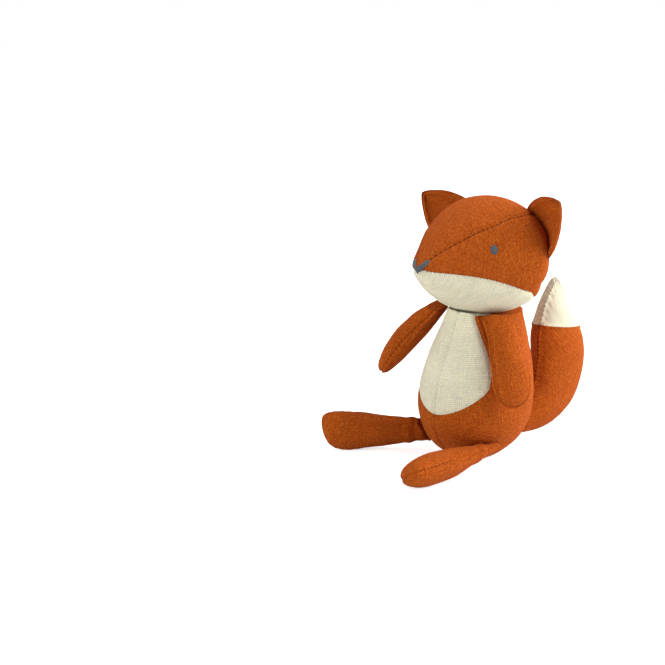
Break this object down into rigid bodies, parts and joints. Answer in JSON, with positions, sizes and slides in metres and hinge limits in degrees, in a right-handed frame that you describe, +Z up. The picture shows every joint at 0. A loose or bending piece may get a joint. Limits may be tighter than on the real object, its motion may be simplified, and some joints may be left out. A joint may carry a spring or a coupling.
{
  "type": "plush fox",
  "caption": "Sitting plush fox sewn from rust and cream linen, with a head that turns, arms that swing, legs that splay and a tail that wags.",
  "frame": {"origin": "middle of the flat seat that the fox sits on, at the surface under it", "axes": "+Z up; the fox looks along -Y, and its own left side is +X"},
  "size_m": [0.1222, 0.1765, 0.1603],
  "materials": {
    "orange_linen": "coarse rust orange linen weave, matt",
    "cream_linen": "coarse undyed linen weave with slubs, matt",
    "slate_thread": "slate grey satin stitch, slight sheen",
    "fibre_filling": "loose white polyester fibre"
  },
  "bodies": {
    "torso": {"seat_panel": "orange_linen", "tummy_panel_left": "cream_linen", "body_panel_left": "orange_linen", "tummy_panel_right": "cream_linen", "body_panel_right": "orange_linen", "body_filling": "fibre_filling"},
    "head": {"chin_panel": "cream_linen", "forehead_panel": "orange_linen", "head_side_panel_left": "orange_linen", "head_side_panel_right": "orange_linen", "head_filling": "fibre_filling", "ear_left_front": "orange_linen", "ear_left_back": "orange_linen", "eye_left": "slate_thread", "ear_right_front": "orange_linen", "ear_right_back": "orange_linen", "eye_right": "slate_thread", "nose_stitching": "slate_thread"},
    "arm_left": {"arm_left_panel_outer": "orange_linen", "arm_left_panel_inner": "orange_linen", "arm_left_filling": "fibre_filling"},
    "arm_right": {"arm_right_panel_outer": "orange_linen", "arm_right_panel_inner": "orange_linen", "arm_right_filling": "fibre_filling"},
    "leg_left": {"leg_left_panel_outer": "orange_linen", "leg_left_panel_inner": "orange_linen", "leg_left_filling": "fibre_filling"},
    "leg_right": {"leg_right_panel_outer": "orange_linen", "leg_right_panel_inner": "orange_linen", "leg_right_filling": "fibre_filling"},
    "tail": {"tail_panel_left": "orange_linen", "tail_tip_left": "cream_linen", "tail_panel_right": "orange_linen", "tail_tip_right": "cream_linen", "tail_filling": "fibre_filling"}
  },
  "joints": [
    {"name": "head_turn", "type": "hinge", "parent": "torso", "child": "head", "pos_m": [0, 0.007, 0.09], "axis": [0, 0, 1], "range_deg": [-25, 25]},
    {"name": "arm_left_swing", "type": "hinge", "parent": "torso", "child": "arm_left", "pos_m": [0.0215, -0.013, 0.091], "axis": [-1, 0, 0], "range_deg": [-12, 48]},
    {"name": "arm_right_swing", "type": "hinge", "parent": "torso", "child": "arm_right", "pos_m": [-0.0215, -0.0055, 0.091], "axis": [-1, 0, 0], "range_deg": [-35, 20]},
    {"name": "leg_left_splay", "type": "hinge", "parent": "torso", "child": "leg_left", "pos_m": [0.025, -0.014, 0.0122], "axis": [0, 0, 1], "range_deg": [-4, 50]},
    {"name": "leg_right_splay", "type": "hinge", "parent": "torso", "child": "leg_right", "pos_m": [-0.025, -0.014, 0.0122], "axis": [0, 0, -1], "range_deg": [-36, 14]},
    {"name": "tail_wag", "type": "hinge", "parent": "torso", "child": "tail", "pos_m": [0, 0.033, 0.013], "axis": [0, 0, 1], "range_deg": [-25, 25]}
  ]
}
